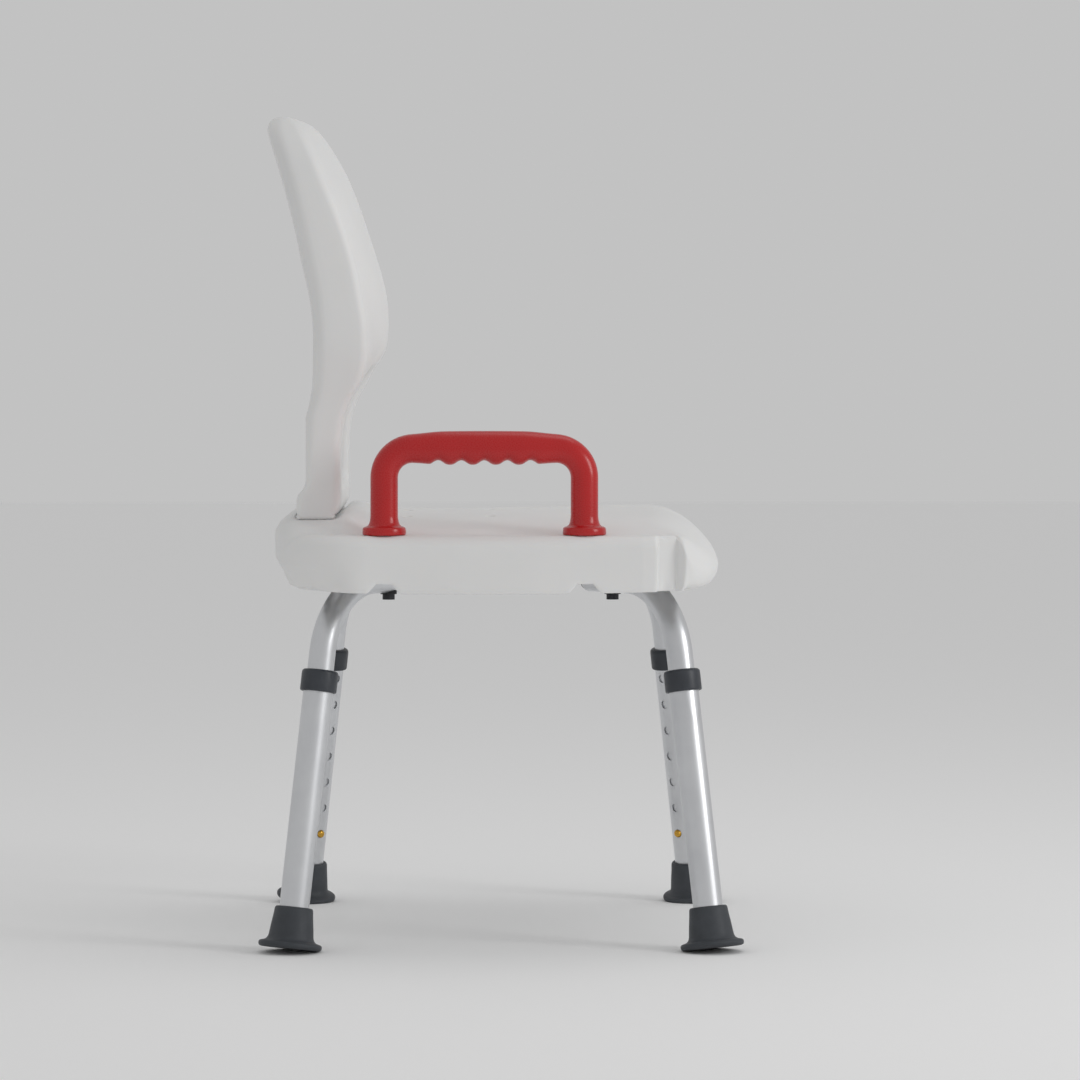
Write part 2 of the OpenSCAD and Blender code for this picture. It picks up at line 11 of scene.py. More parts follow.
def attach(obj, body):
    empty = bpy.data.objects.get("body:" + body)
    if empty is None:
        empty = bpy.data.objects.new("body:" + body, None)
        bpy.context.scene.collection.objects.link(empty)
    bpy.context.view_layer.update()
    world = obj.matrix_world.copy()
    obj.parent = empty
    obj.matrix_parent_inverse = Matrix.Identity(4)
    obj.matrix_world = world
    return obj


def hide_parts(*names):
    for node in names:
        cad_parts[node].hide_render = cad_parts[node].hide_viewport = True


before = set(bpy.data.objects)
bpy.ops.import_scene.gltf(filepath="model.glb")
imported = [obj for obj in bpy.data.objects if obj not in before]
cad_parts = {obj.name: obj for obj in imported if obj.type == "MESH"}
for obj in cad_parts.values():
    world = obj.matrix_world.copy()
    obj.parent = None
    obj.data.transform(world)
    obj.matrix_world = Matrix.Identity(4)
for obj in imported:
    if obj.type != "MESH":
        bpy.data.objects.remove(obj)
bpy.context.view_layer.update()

MM = 0.001
SIDES = {"front_right": (-1, -1), "front_left": (1, -1), "rear_right": (-1, 1), "rear_left": (1, 1)}

# ---------------------------------------------------------------- helpers


def smooth(a, b, v):
    """0 below a, 1 above b, and a smooth rise between them."""
    t = np.clip((np.asarray(v, float) - a) / (b - a), 0, 1)
    return t * t * (3 - 2 * t)


def curve(table, v, column=1):
    """A smooth line through a table of (place, value), monotone between its points."""
    t = np.array(table, float)
    x, y = t[:, 0], t[:, column]
    slope = np.diff(y) / np.diff(x)
    before, after = slope[:-1], slope[1:]
    inner = np.where(after * before > 0, 2 * after * before / (after + before + 1e-12), 0)
    m = np.concatenate([slope[:1], inner, slope[-1:]])
    v = np.clip(np.asarray(v, float), x[0], x[-1])
    k = np.clip(np.searchsorted(x, v) - 1, 0, len(x) - 2)
    h = x[k + 1] - x[k]
    s = (v - x[k]) / h
    return ((2 * s**3 - 3 * s**2 + 1) * y[k] + (s**3 - 2 * s**2 + s) * h * m[k]
            + (-2 * s**3 + 3 * s**2) * y[k + 1] + (s**3 - s**2) * h * m[k + 1])


def arc(cx, cy, r, a0, a1, n):
    """n points on an arc, angles in degrees."""
    a = np.radians(np.linspace(a0, a1, n))
    return np.stack([cx + r * np.cos(a), cy + r * np.sin(a)], 1)


def level(x0, x1, height, n):
    """n points along a level line."""
    return np.column_stack([np.linspace(x0, x1, n), np.full(n, height)])


def distances(points):
    """How far along a line each of its points lies."""
    return np.concatenate([[0], np.cumsum(np.linalg.norm(np.diff(points, axis=0), axis=1))])


def resample(points, n):
    """n points evenly along an open line."""
    s = distances(points)
    t = np.linspace(0, s[-1], n)
    return np.stack([np.interp(t, s, points[:, i]) for i in (0, 1)], 1)


def mirrored(right):
    """A closed outline from its right half, which starts and ends on the middle line."""
    return np.vstack([right, right[1:-1][::-1] * [-1, 1]])


def outward(outline):
    """Unit normals of an anticlockwise closed outline, pointing out of it."""
    along = np.roll(outline, -1, 0) - np.roll(outline, 1, 0)
    along = along / np.linalg.norm(along, axis=1)[:, None]
    return np.stack([along[:, 1], -along[:, 0]], 1)


def make(name, parts, material, sharp=30, lift=0.0):
    """A mesh object from a list of (points in mm, faces), smooth but for edges sharper than the angle."""
    points, faces, base = [], [], 0
    for p, f in parts:
        p = np.asarray(p, float) + [0, 0, lift]
        points.append(p)
        faces += [tuple(int(i) + base for i in q) for q in f]
        base += len(p)
    mesh = bpy.data.meshes.new(name)
    mesh.from_pydata([tuple(v) for v in np.vstack(points) * MM], [], faces)
    bm = bmesh.new()
    bm.from_mesh(mesh)
    bmesh.ops.remove_doubles(bm, verts=bm.verts, dist=1e-6)
    bmesh.ops.recalc_face_normals(bm, faces=bm.faces)
    bm.to_mesh(mesh)
    bm.free()
    mesh.polygons.foreach_set("use_smooth", [True] * len(mesh.polygons))
    mesh.set_sharp_from_angle(angle=math.radians(sharp))
    mesh.materials.append(material)
    obj = bpy.data.objects.new(name, mesh)
    bpy.context.scene.collection.objects.link(obj)
    return obj


def grid(rows, wrap_rows=False, wrap_cols=True):
    """Points and faces of a grid given as an array rows x cols x 3."""
    r, c, _ = rows.shape
    f = []
    for i in range(r if wrap_rows else r - 1):
        for j in range(c if wrap_cols else c - 1):
            a, b = (i + 1) % r, (j + 1) % c
            f.append((i * c + j, i * c + b, a * c + b, a * c + j))
    return rows.reshape(-1, 3), f


def capped(rows):
    """A grid closed with a fan of small faces at its first and last row."""
    p, f = grid(rows)
    r, c, _ = rows.shape
    p = np.vstack([p, rows[0].mean(0), rows[-1].mean(0)])
    f += [((j + 1) % c, j, r * c) for j in range(c)]
    f += [((r - 1) * c + j, (r - 1) * c + (j + 1) % c, r * c + 1) for j in range(c)]
    return p, f


def lathe(profile, n=96):
    """Rings of a shape turned about +Z, one for each (radius, height) of its outline."""
    a = np.linspace(0, 2 * math.pi, n, endpoint=False)
    return np.array([[(r * math.cos(t), r * math.sin(t), z) for t in a] for r, z in profile])


def rod(x, z, rings, n=32):
    """A turned solid along +Y, from the (y, radius) of its rings."""
    a = np.linspace(0, 2 * math.pi, n, endpoint=False)
    return capped(np.array([[(x + r * math.cos(t), y, z + r * math.sin(t)) for t in a] for y, r in rings]))


def rounded(points, r, n):
    """A closed outline with n points round each of its corners."""
    out = []
    for i, corner in enumerate(points):
        p = np.array(corner, float)
        a = np.array(points[i - 1], float) - p
        b = np.array(points[(i + 1) % len(points)], float) - p
        la, lb = np.linalg.norm(a), np.linalg.norm(b)
        a, b = a / la, b / lb
        half = math.acos(np.clip(a @ b, -1, 1)) / 2
        cut = min(r / math.tan(half), 0.48 * la, 0.48 * lb)
        s, e = p + a * cut, p + b * cut
        for t in np.linspace(0, 1, n):
            out.append((1 - t)**2 * s + 2 * t * (1 - t) * p + t * t * e)
    return np.array(out)


def box(lo, hi, r, taper):
    """A block with rounded edges, its lower end drawn in by taper on each side."""
    lo, hi = np.array(lo, float), np.array(hi, float)
    z0, z1 = lo[2], hi[2]
    rows = []
    for z, inset in [(z0, r), (z0 + 0.3 * r, 0.3 * r), (z0 + r, 0),
                     (z1 - r, 0), (z1 - 0.3 * r, 0.3 * r), (z1, r)]:
        inset = inset + taper * (z1 - z) / (z1 - z0)
        (ax, ay), (bx, by) = lo[:2] + inset, hi[:2] - inset
        o = rounded([(ax, ay), (bx, ay), (bx, by), (ax, by)], r, 4)
        rows.append(np.column_stack([o, np.full(len(o), z)]))
    return capped(np.array(rows))


def moved(part, matrix):
    """A part (points, faces) taken through a 4 x 4 matrix."""
    p, f = part
    m = np.array(matrix, float)
    return p @ m[:3, :3].T + m[:3, 3], f


# ---------------------------------------------------------------- materials


class Nodes:
    """Small helper for node materials."""

    def __init__(self, name):
        self.mat = bpy.data.materials.new(name)
        self.mat.use_nodes = True
        self.tree = self.mat.node_tree
        self.shader = self.tree.nodes["Principled BSDF"]

    def add(self, kind, **inputs):
        """A new node; names that aren't its inputs are set as its properties."""
        n = self.tree.nodes.new(kind)
        for k, v in inputs.items():
            key = k.replace("_", " ")
            if key in n.inputs:
                n.inputs[key].default_value = v
            else:
                setattr(n, k, v)
        return n

    def link(self, a, b):
        self.tree.links.new(a, b)

    def coords(self):
        """The object's own coordinates, in metres."""
        return self.add("ShaderNodeTexCoord").outputs["Object"]

    def mapping(self, vector, **inputs):
        n = self.add("ShaderNodeMapping", **inputs)
        self.link(vector, n.inputs["Vector"])
        return n.outputs["Vector"]

    def noise(self, vector, scale, detail=3.0, rough=0.5):
        n = self.add("ShaderNodeTexNoise", Scale=scale, Detail=detail, Roughness=rough)
        self.link(vector, n.inputs["Vector"])
        return n.outputs["Fac"]

    def ramp(self, fac, stops):
        n = self.add("ShaderNodeValToRGB")
        e = n.color_ramp.elements
        while len(e) < len(stops):
            e.new(0.5)
        for el, (pos, col) in zip(e, stops):
            el.position = pos
            el.color = (*col, 1) if hasattr(col, "__len__") else (col, col, col, 1)
        self.link(fac, n.inputs["Fac"])
        return n.outputs["Color"]

    def map(self, fac, lo, hi, a=0.0, b=1.0):
        n = self.add("ShaderNodeMapRange")
        n.inputs["From Min"].default_value, n.inputs["From Max"].default_value = a, b
        n.inputs["To Min"].default_value, n.inputs["To Max"].default_value = lo, hi
        self.link(fac, n.inputs["Value"])
        return n.outputs["Result"]

    def bump(self, height, distance, strength=1.0, normal=None):
        n = self.add("ShaderNodeBump")
        n.inputs["Strength"].default_value, n.inputs["Distance"].default_value = strength, distance
        self.link(height, n.inputs["Height"])
        if normal is not None:
            self.link(normal, n.inputs["Normal"])
        return n.outputs["Normal"]

    def set(self, **values):
        """Sets or links inputs of the shader; a colour may leave out its alpha."""
        for k, v in values.items():
            socket = self.shader.inputs[k.replace("_", " ")]
            if isinstance(v, bpy.types.NodeSocket):
                self.link(v, socket)
            elif hasattr(v, "__len__") and len(v) == 3 and len(socket.default_value) == 4:
                socket.default_value = (*v, 1)
            else:
                socket.default_value = v


def white_plastic():
    m = Nodes("white_plastic")
    v = m.coords()
    broad = m.noise(v, 9, 3)
    fine = m.noise(v, 900, 4, 0.6)
    speck = m.noise(v, 2600, 2, 0.6)
    m.set(Base_Color=m.ramp(broad, [(0.3, (0.80, 0.80, 0.795)), (0.7, (0.835, 0.832, 0.825))]),
          Roughness=m.map(fine, 0.40, 0.56, 0.3, 0.7), IOR=1.49, Specular_IOR_Level=0.42,
          Subsurface_Weight=0.12, Subsurface_Radius=(0.006, 0.005, 0.004), Subsurface_Scale=1.0,
          Normal=m.bump(speck, 0.00006, 0.45, m.bump(fine, 0.00012, 0.35)))
    return m.mat


def red_plastic():
    m = Nodes("red_plastic")
    v = m.coords()
    broad = m.noise(v, 14, 2)
    fine = m.noise(v, 1100, 3, 0.6)
    m.set(Base_Color=m.ramp(broad, [(0.3, (0.46, 0.005, 0.006)), (0.7, (0.52, 0.007, 0.008))]),
          Roughness=m.map(fine, 0.22, 0.34, 0.3, 0.7), IOR=1.5, Specular_IOR_Level=0.45,
          Coat_Weight=0.2, Coat_Roughness=0.15,
          Normal=m.bump(fine, 0.00008, 0.35))
    return m.mat


def aluminium(name, matrix):
    """Satin anodised tube with drawing lines along the tube's own axis."""
    m = Nodes("aluminium_" + name)
    v = m.mapping(m.coords(), Rotation=Matrix(matrix).inverted().to_euler())
    lines = m.noise(m.mapping(v, Scale=(1, 1, 0.012)), 1500, 4, 0.7)
    broad = m.noise(v, 26, 3)
    grain = m.noise(v, 2400, 2, 0.6)
    m.set(Base_Color=m.ramp(broad, [(0.3, (0.66, 0.67, 0.69)), (0.7, (0.73, 0.74, 0.755))]), Metallic=1.0,
          Roughness=m.map(lines, 0.30, 0.46, 0.25, 0.75), Anisotropic=0.35,
          Normal=m.bump(grain, 0.00003, 0.3, m.bump(lines, 0.00004, 0.35)))
    return m.mat


def rubber(name, dark, light, rough, depth=0.0002):
    m = Nodes(name)
    v = m.coords()
    broad = m.noise(v, 40, 4, 0.6)
    fine = m.noise(v, 1300, 4, 0.65)
    m.set(Base_Color=m.ramp(broad, [(0.3, dark), (0.72, light)]),
          Roughness=m.map(fine, rough - 0.08, rough + 0.1, 0.3, 0.7), IOR=1.5, Specular_IOR_Level=0.4,
          Normal=m.bump(fine, depth, 0.4))
    return m.mat


def metal(name, dark, light, low, high, scale=1200):
    m = Nodes(name)
    v = m.coords()
    broad = m.noise(v, 90, 3)
    fine = m.noise(v, scale, 3, 0.6)
    m.set(Base_Color=m.ramp(broad, [(0.3, dark), (0.7, light)]), Metallic=1.0,
          Roughness=m.map(fine, low, high, 0.3, 0.7), Normal=m.bump(fine, 0.00003, 0.35))
    return m.mat


WHITE = white_plastic()
RED = red_plastic()
RUBBER = rubber("grey_rubber", (0.040, 0.045, 0.052), (0.058, 0.064, 0.073), 0.55)
NYLON = rubber("grey_plastic", (0.034, 0.038, 0.046), (0.050, 0.056, 0.066), 0.40, 0.0001)
BLACK_PLASTIC = rubber("black_plastic", (0.012, 0.012, 0.013), (0.022, 0.022, 0.024), 0.45)
BLACK_STEEL = metal("black_steel", (0.035, 0.035, 0.038), (0.06, 0.06, 0.065), 0.30, 0.45)
STEEL = metal("steel", (0.52, 0.53, 0.55), (0.62, 0.63, 0.65), 0.24, 0.38)
BRASS = metal("brass", (0.62, 0.42, 0.14), (0.74, 0.52, 0.20), 0.22, 0.36)
BUTTON = metal("button_brass", (0.60, 0.33, 0.05), (0.72, 0.42, 0.08), 0.16, 0.28)

# ---------------------------------------------------------------- seat

# The seat, backrest and handle are drawn over a seat edge at 335 mm, then lifted to the CAD part's.
LIFT = 10.0
SEAT_HALF, REAR_Y, CORNER_R = 250.0, 217.0, 90.0
CORNER_X, CORNER_Y = SEAT_HALF - CORNER_R, REAR_Y - CORNER_R
SIDE_FRONT_Y = -134.0                                   # where the straight sides begin
POST_X, SCREW_Z = 151.0, 383.0                          # the backrest's posts and the screws that lock them
BOSS_X, HANDLE_Y, HALF_PITCH = 224.0, 16.0, 95.0        # the handle's bolts, also on the free side
BOSS_Y = (HANDLE_Y - HALF_PITCH, HANDLE_Y + HALF_PITCH)
RAIL_Z, PLATE_Z, NOSE_TIP_Z = 388.0, 401.5, 357.0       # side rails, backrest tray, tip of the front lip
REAR_LOW_Z, CORNER_LOW_Z = 336.2, 336.6                 # lower edge at the rear and in the rear corners
SIDE_LOW_Z, SIDE_BOW, SIDE_MID_Y, SIDE_SPAN = 333.9, 2.4, 20.0, 170.0     # bowed lower edge of the sides
SKIN = 3.4                                              # the wall's thickness
RIM_DROP = 1.2                                          # how far the rim reaches below the wall's foot
FLAT_ROWS = 15.0                                        # the top's rows follow the outline this far inside it
RIB_T, RIB_Z, SINK = 3.0, 356.0, 1.5                    # ribs: thickness, lower edge, gap to the top's surface
RIB_GAP = 3.0                                           # from a rib's end to the outline

# height of the crest along the middle line, front to rear
CREST = [(-214, 409.7), (-120, 409.7), (-60, 408.5), (0, 407.1), (60, 406.3), (100, 406.4), (122, 408.6),
         (140, 411), (150, 410.6), (160, 406), (175, 405), (205, 405.4), (217, 405.4)]
# plan of the front edge, from the middle to the side
FRONT = [(0, -214), (40, -213.8), (80, -213), (120, -211.3), (160, -208.3), (185, -205), (205, -200.5),
         (221, -194), (232, -186.5), (238.5, -179), (242, -171), (244.5, -162), (247, -154), (249, -145),
         (250, -134)]
# where y can be read off that edge from x alone
FRONT_FACE = FRONT[:11]
# fall of the top at a distance inside the outline
SIDE_EDGE = [(0, -11), (0.25, -9.6), (0.9, -7.9), (2.1, -5.7), (3.9, -3.5), (6.2, -1.7), (8.7, -0.6),
             (11.5, 0), (15, 0)]
REAR_EDGE = [(0, -17), (0.25, -14.5), (0.9, -12), (2.1, -9.6), (3.9, -7.1), (6.2, -4.8), (8.7, -3.1),
             (11.5, -1.8), (15, -0.8), (20, 0), (30, 0)]
# up the rear wall: (step, share of the wall's height, distance inside the outline)
REAR_WALL = [(0, 0, 20), (0.12, 0.048, 13.6), (0.26, 0.162, 11), (0.4, 0.324, 7.6), (0.54, 0.458, 3.4),
             (0.68, 0.573, 0.7), (0.8, 0.706, 0.1), (0.9, 0.86, 0), (1, 1, 0)]
# up the front lip: (step, height, distance inside the outline)
NOSE_WALL = [(0, 336, 18), (0.12, 337.3, 11.5), (0.26, 339.6, 7.6), (0.4, 342.4, 4.9), (0.54, 345.4, 2.9),
             (0.68, 348.4, 1.5), (0.8, 351.2, 0.7), (0.9, 354, 0.2), (1, 357, 0)]
# rings round the rim under the wall: (distance inside its foot, height over the rim's bottom)
RIM = [(1.6, 0.0), (0.5, 0.35), (0.05, 1.4)]
# rows of the top: first by distance inside the outline, then by share of the way to the middle
EDGE_ROWS = (0.25, 0.9, 2.1, 3.9, 6.2, 8.7, 11.5, FLAT_ROWS)
INNER_ROWS = (0.015, 0.03, 0.05, 0.075, 0.1, 0.13, 0.16, 0.2, 0.24, 0.29, 0.34,
              0.4, 0.47, 0.55, 0.64, 0.74, 0.86, 1.0)


def seat_outline():
    """Plan outline, anticlockwise from the middle of the front, without the notch behind the front lip."""
    half = np.array(FRONT, float)
    s = distances(half)
    corner_start = s[-1] - 75
    t = np.concatenate([np.linspace(0, corner_start, 62), np.linspace(corner_start, s[-1], 66)[1:]])
    front = np.stack([curve(np.column_stack([s, half[:, k]]), t) for k in (0, 1)], 1)
    side = np.stack([np.full(120, SEAT_HALF), np.linspace(SIDE_FRONT_Y, CORNER_Y, 122)[1:-1]], 1)
    corner = arc(CORNER_X, CORNER_Y, CORNER_R, 0, 90, 60)
    return mirrored(np.vstack([front, side, corner, level(CORNER_X, 0, REAR_Y, 46)[1:]]))


OUT = seat_outline()
NRM = outward(OUT)
# shares of the front lip and of the rear wall at each point of the outline; the rest is side
W_NOSE = smooth(0.10, 0.80, -NRM[:, 1]) * (OUT[:, 1] < -130)
W_REAR = smooth(0.10, 0.95, NRM[:, 1])
# the notch behind the front lip, as a depth into the side
NOTCH = 10.5 * (1 - smooth(-152, -146.5, OUT[:, 1])) * smooth(-175.5, -168.5, OUT[:, 1])


def dome(x, y):
    """Height of the top, before its edges: a dome over level side rails, fuller at the rear."""
    x, y = np.abs(x), np.asarray(y, float)
    rear = smooth(118, 165, y)
    edge = 212 - 9 * smooth(127, 217, y)
    u = np.clip(x / edge, 0, 1)
    power, root = 2 + 8 * rear, 0.80 - 0.12 * rear
    z = RAIL_Z + (curve(CREST, y) - RAIL_Z) * (1 - u**power)**root
    tray = smooth(190, 186.5, x) * smooth(149, 160.5, y) * (1 - smooth(196.3, 199.5, y))
    return z + tray * np.minimum(PLATE_Z - z, 0)


def lip_fall(x, d):
    """The front lip's long fall, 0 to 1, at d behind its edge; it is shorter towards the corners."""
    reach = 70 - 50 * smooth(165, 240, np.abs(x))
    return 0.846 * np.clip(1 - d / reach, 0, 1)**2.3


def nose_curve(d):
    """Share of the full height that the front lip has at d inside its own edge: a long fall and a tight one."""
    return 1 - (lip_fall(OUT[:, 0], d) + 0.154 * np.exp(-d / 2.5))


def lip_z(x, y):
    """Height of the top over the front of the seat, away from its edges."""
    behind = np.maximum(y - curve(FRONT_FACE, np.minimum(np.abs(x), 238)), 0)
    return NOSE_TIP_Z + (dome(x, y) - NOSE_TIP_Z) * (1 - lip_fall(x, behind))


def blend(side, nose, rear):
    """Side, nose and rear values mixed by their shares along the outline."""
    return (1 - W_NOSE - W_REAR) * side + W_NOSE * nose + W_REAR * rear


def top_row(p, d, front_share):
    """A row of the top at points p that are d inside the outline."""
    z = dome(p[:, 0], p[:, 1])
    own = blend(z + curve(SIDE_EDGE, d), NOSE_TIP_Z + (z - NOSE_TIP_Z) * nose_curve(d), z + curve(REAR_EDGE, d))
    return np.column_stack([p, own + front_share * (lip_z(p[:, 0], p[:, 1]) - own)])


def arch(y):
    """Height of the gaps in the lower edge, under the handle posts."""
    h = np.zeros(len(y))
    for c in BOSS_Y:
        h = np.maximum(h, np.clip((15.2 - np.abs(y - c)) / 7.6, 0, 1) * 9)
    return h


def wall_row(share, inward, rise):
    """A row of the wall at a share of its height, moved inward and up by a little."""
    x, y = OUT.T
    top = dome(x, y)
    low = np.where(y < 200, SIDE_LOW_Z + SIDE_BOW * ((y - SIDE_MID_Y) / SIDE_SPAN)**2, CORNER_LOW_Z)
    low = low + np.where(np.abs(x) > SEAT_HALF - 0.1, arch(y), 0)
    side = low + share * (top + SIDE_EDGE[0][1] - low)
    rear = REAR_LOW_Z + curve(REAR_WALL, share) * (top + REAR_EDGE[0][1] - REAR_LOW_Z)
    d = W_NOSE * curve(NOSE_WALL, share, 2) + W_REAR * curve(REAR_WALL, share, 2) + inward
    z = blend(side, curve(NOSE_WALL, share), rear) + rise
    return np.column_stack([OUT - NRM * (d + NOTCH)[:, None], z])


def skin_normals(rows):
    """Unit normals at the points of a closed grid of rows."""
    around = np.roll(rows, -1, 1) - np.roll(rows, 1, 1)
    across = np.empty_like(rows)
    across[1:-1] = rows[2:] - rows[:-2]
    across[0], across[-1] = rows[1] - rows[0], rows[-1] - rows[-2]
    n = np.cross(around, across)
    return n / (np.linalg.norm(n, axis=2)[:, :, None] + 1e-9)


def seat_shell():
    """Outside and inside of the shell as one closed skin."""
    rows = [wall_row(0, inward, rise - RIM_DROP) for inward, rise in RIM]
    rows += [wall_row(share, 0, 0) for share, _, _ in REAR_WALL[1:]]
    front_share = 1 - smooth(-60, 60, OUT[:, 1])
    for d in EDGE_ROWS:
        notch = NOTCH * math.exp(-(d / 9.0)**2)
        p = OUT - NRM * (d + notch)[:, None]
        rows.append(top_row(p, d + notch * 0.6, front_share * smooth(3, FLAT_ROWS, d)))
    last = rows[-1][:, :2]
    spine = last * [0.12, 0.5]
    for share in INNER_ROWS:
        p = last * (1 - share) + spine * share
        rows.append(top_row(p, FLAT_ROWS + np.linalg.norm(p - last, axis=1), front_share))
    outer = np.array(rows)
    inner = outer - skin_normals(outer) * SKIN
    # the inner rim keeps the outer one's heights, a little further in
    for i, inset in enumerate((1.0, 1.7, 1.8)):
        inner[i, :, :2] = outer[0, :, :2] - NRM * inset
        inner[i, :, 2] = outer[i, :, 2] + (1 if i == 2 else 0)

    k, m, _ = outer.shape
    inside = k * m
    f = []
    for i in range(k - 1):
        here, above = i * m, (i + 1) * m
        for j in range(m):
            b = (j + 1) % m
            f.append((here + j, here + b, above + b, above + j))
            f.append((inside + here + j, inside + above + j, inside + above + b, inside + here + b))
    for j in range(m):
        b = (j + 1) % m
        f.append((j, inside + j, inside + b, b))
    # the middle: the last row is joined to itself across the chair's middle line
    for start in ((k - 1) * m, inside + (k - 1) * m):
        for j in range(m // 2):
            corners = dict.fromkeys(start + v % m for v in (j, j + 1, m - j - 1, m - j))
            if len(corners) > 2:
                f.append(tuple(corners))
    return np.vstack([outer.reshape(-1, 3), inner.reshape(-1, 3)]), f


SHELL = seat_shell()
TOP_TREE = BVHTree.FromPolygons([tuple(v) for v in SHELL[0]], SHELL[1])


def top_at(x, y):
    """Height of the top at points inside the outline."""
    down = Vector((0, 0, -1))
    hits = [TOP_TREE.ray_cast(Vector((a, b, 900)), down)[0] for a, b in zip(np.atleast_1d(x), np.atleast_1d(y))]
    return np.array([h.z if h else 340.0 for h in hits])


def rib(a, b, n=60):
    """An upright rib from a to b in plan, up into the skin, with its lower edge rounded."""
    a, b = np.array(a, float), np.array(b, float)
    w = np.array([-(b - a)[1], (b - a)[0]]) / np.linalg.norm(b - a)
    mid = a + (b - a) * np.linspace(0, 1, n)[:, None]
    top = top_at(mid[:, 0], mid[:, 1]) - SINK
    keep = top > RIB_Z + 1
    mid, top = mid[keep], top[keep]
    low = np.full(len(top), RIB_Z)
    ring = [(-0.5, top), (-0.42, low + 1), (-0.22, low), (0.22, low), (0.42, low + 1), (0.5, top)]
    rows = np.array([np.column_stack([mid + w * (RIB_T * share), z]) for share, z in ring]).transpose(1, 0, 2)
    p, f = grid(rows)
    c = rows.shape[1]
    f += [tuple(range(c))[::-1], tuple((len(mid) - 1) * c + i for i in range(c))]
    return p, f


# legs in their bent plane, as in the CAD source
LEAN, PLAN = math.radians(10), math.radians(38)
FOOT_X, FOOT_Y = 216.4, 202.1
RUN_Z, BEND_R, RUN_L, UPPER_R = 350.0, 80.0, 56.0, 12.7
CORNER_U = -RUN_Z * math.tan(LEAN)
TANGENT = BEND_R * math.tan((math.pi / 2 - LEAN) / 2)
TUBE_END_U = CORNER_U - TANGENT - RUN_L


def leg_matrix(side, end):
    """From a leg's plane (u outward, up) to the chair's frame."""
    turn = Matrix.Translation((FOOT_X, FOOT_Y, 0)) @ Matrix.Rotation(PLAN, 4, "Z")
    return Matrix.Diagonal((side, end, 1, 1)) @ turn


def up_leg(side, end, w=0.0):
    """From a leg tube's own axis, w along it from the floor, to the chair's frame."""
    return leg_matrix(side, end) @ Matrix.Rotation(-LEAN, 4, "Y") @ Matrix.Translation((0, 0, w))


def saddle():
    """The block that a tube's level end lies in: a channel with round shoulders, drawn in at both ends."""
    u0, u1 = TUBE_END_U - 3.5, CORNER_U - TANGENT + 2
    half, top, mid = 17.0, 396.0, RUN_Z - LIFT
    section = [(-half + 1.4, mid - 0.2)]
    section += [tuple(v) for v in arc(0, mid, UPPER_R + 0.25, 180, 0, 17)]
    section += [(half - 1.4, mid - 0.2), (half - 0.4, mid + 0.4), (half, mid + 1.5), (half + 0.8, top),
                (-half - 0.8, top), (-half, mid + 1.5), (-half + 0.4, mid + 0.4)]
    middle = [(u, 1) for u in np.linspace(u0 + 6, u1 - 6, 6)]
    stations = [(u0, 0.97), (u0 + 1, 1)] + middle + [(u1 - 1, 1), (u1, 0.97)]
    return capped(np.array([[(u, s * v, z) for v, z in section] for u, s in stations]))


def seat_under():
    """Ribs, saddles, bosses, sockets and screw tubes under the seat."""
    parts = []
    for x in (-150, -75, 0, 75, 150):
        parts.append(rib((x, -196 + abs(x) * 0.02), (x, 210)))
    for y in (-110, -30, 50, 130):
        reach = SEAT_HALF - RIB_GAP
        if y > CORNER_Y:
            reach = CORNER_X + math.sqrt((CORNER_R - RIB_GAP)**2 - (y - CORNER_Y)**2)
        parts.append(rib((-reach, y), (reach, y)))
    for side, end in SIDES.values():
        p, f = moved(saddle(), leg_matrix(side, end))
        if side * end < 0:
            f = [tuple(reversed(q)) for q in f]
        # the block's top follows the inside of the skin
        p[:, 2] = np.where(p[:, 2] > 390, top_at(p[:, 0], p[:, 1]) - SINK, p[:, 2])
        parts.append((p, f))
    boss = [(4.3, 362), (10.6, 362), (11.6, 362.6), (12, 363.6), (12.5, 386.5), (4.3, 386.5)]
    for side in (-1, 1):
        for y in BOSS_Y:
            p, f = grid(lathe(boss, 40), wrap_rows=True)
            parts.append((p + [side * BOSS_X, y, 0], f))
        post = side * POST_X
        parts.append(box((post - 31, 155.2, 361), (post + 31, 185.8, 399), 1.2, 0.4))
        parts.append(rod(post, SCREW_Z, [(184, 8.4), (186, 8), (214.5, 8)]))
    return parts


def seat_cutters():
    """Drain holes, handle bolt holes and screw recesses, joined in one cutter."""
    parts = []
    for x in (-112.5, -37.5, 37.5, 112.5):
        for y in (-70, 10, 90):
            z = float(top_at(x, y)[0])
            drain = [(4.5, z - 12), (4.5, z - 1.1), (4.75, z - 0.45), (5.3, z + 0.15), (6.4, z + 0.6),
                     (6.4, z + 6)]
            p, f = capped(lathe(drain, 32))
            parts.append((p + [x, y, 0], f))
    for side in (-1, 1):
        for y in BOSS_Y:
            p, f = capped(lathe([(4.25, 372), (4.25, 392)], 32))
            parts.append((p + [side * BOSS_X, y, 0], f))
        parts.append(rod(side * POST_X, SCREW_Z, [(213.2, 5.4), (216.2, 5.4), (218.4, 6.6)]))
    return parts


shell = make("seat_shell", [SHELL], WHITE, 40, LIFT)
cutter = make("cutter", seat_cutters(), WHITE, 40, LIFT)
cut = shell.modifiers.new("holes", "BOOLEAN")
cut.object, cut.solver = cutter, "EXACT"
bpy.context.view_layer.update()
cut_mesh = bpy.data.meshes.new_from_object(shell.evaluated_get(bpy.context.evaluated_depsgraph_get()))
shell.modifiers.clear()
shell.data = cut_mesh
bpy.data.objects.remove(cutter)
shell.data.polygons.foreach_set("use_smooth", [True] * len(shell.data.polygons))
shell.data.set_sharp_from_angle(angle=math.radians(40))
under = make("seat_underside", seat_under(), WHITE, 35, LIFT)

# ---------------------------------------------------------------- backrest

